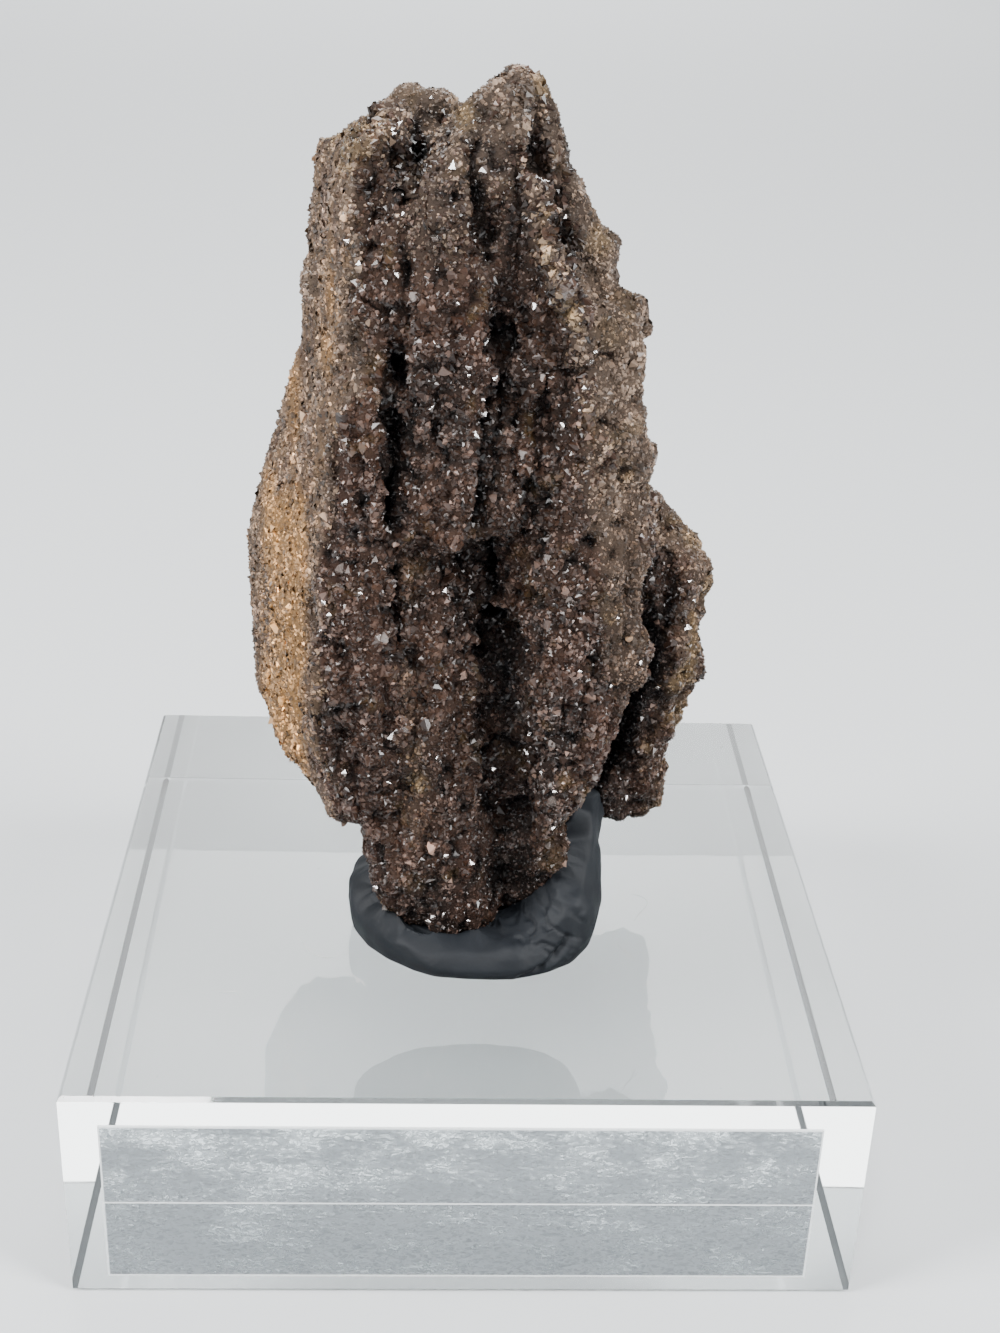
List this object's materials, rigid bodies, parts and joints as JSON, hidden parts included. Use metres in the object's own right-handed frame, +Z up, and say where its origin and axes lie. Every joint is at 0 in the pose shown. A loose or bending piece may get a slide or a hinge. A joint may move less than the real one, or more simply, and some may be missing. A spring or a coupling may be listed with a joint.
{
  "type": "druzy petrified wood specimen",
  "caption": "Druzy petrified wood: fused upright ridges under fine quartz crystals, its foot set in dark mineral putty on a clear square display base with a bare film label.",
  "frame": {"origin": "centre of the underside of the acrylic block", "axes": "+Z up along the grain of the wood, -Y towards the side with the label, +X to the right seen from the label side"},
  "size_m": [0.05, 0.0502, 0.0735],
  "materials": {
    "clear_acrylic": "polished",
    "label_film": "matte",
    "mineral_putty": "matte",
    "druzy_quartz": "satin"
  },
  "bodies": {
    "root": {"acrylic_block": "clear_acrylic", "label": "label_film", "mounting_putty": "mineral_putty", "petrified_wood": "druzy_quartz"}
  },
  "joints": []
}
